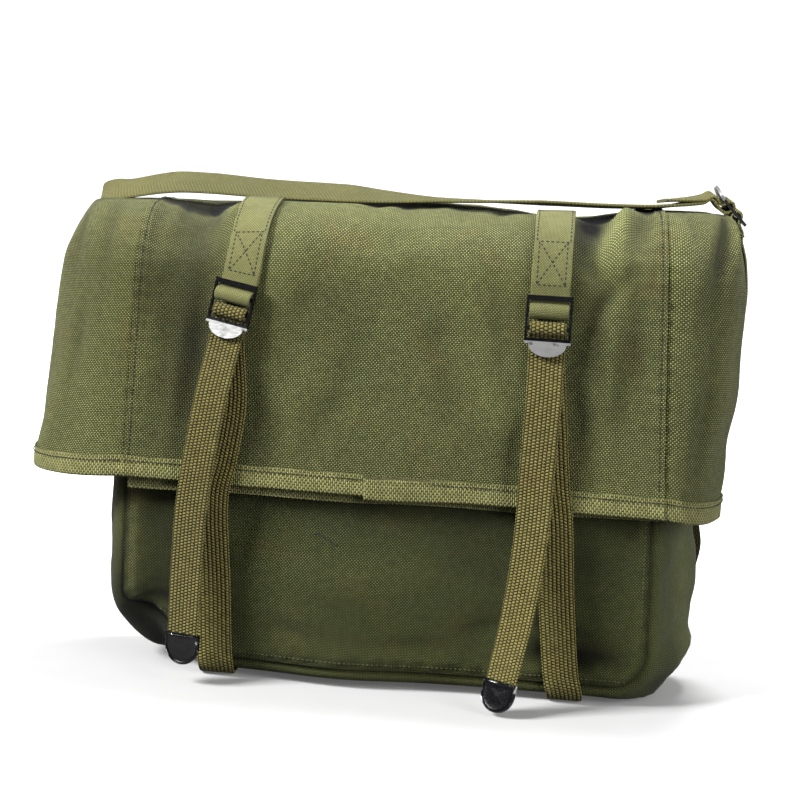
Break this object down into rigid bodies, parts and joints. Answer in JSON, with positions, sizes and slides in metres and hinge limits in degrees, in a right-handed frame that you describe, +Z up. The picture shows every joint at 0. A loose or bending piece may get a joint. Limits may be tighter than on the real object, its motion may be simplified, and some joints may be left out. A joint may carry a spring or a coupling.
{
  "type": "field pack",
  "caption": "Canvas field pack standing on its base: open bag under a hooded flap with bound hem, buckled closing straps with hanging ends and a carrying strap across the top.",
  "frame": {"origin": "middle of the pack's width and depth at the level of the surface it stands on", "axes": "+X to the right as the pack is seen from its front, +Y from the front to the back, +Z up"},
  "size_m": [0.4442, 0.1756, 0.3212],
  "materials": {
    "bag_canvas": "dark green cotton canvas",
    "flap_canvas": "faded olive cotton canvas",
    "webbing": "yellowish olive cotton webbing",
    "binding_tape": "olive cotton tape",
    "bright_steel": "worn bright steel",
    "black_steel": "black enamel, worn at the rims"
  },
  "bodies": {
    "root": {"bag_front": "bag_canvas", "bag_gusset": "bag_canvas", "bag_back": "bag_canvas", "back_edge_left": "binding_tape", "back_edge_right": "binding_tape", "flap_front": "flap_canvas", "flap_wing_left": "flap_canvas", "flap_wing_right": "flap_canvas", "flap_facing": "flap_canvas", "hem_binding": "binding_tape", "buckle_left": "bright_steel", "buckle_right": "bright_steel", "carry_buckle": "bright_steel", "chape_left": "webbing", "chape_right": "webbing", "carry_chape": "webbing", "closing_strap_left": "webbing", "closing_strap_right": "webbing", "carry_strap": "webbing", "strap_tip_left": "black_steel", "strap_tip_right": "black_steel"}
  },
  "joints": []
}
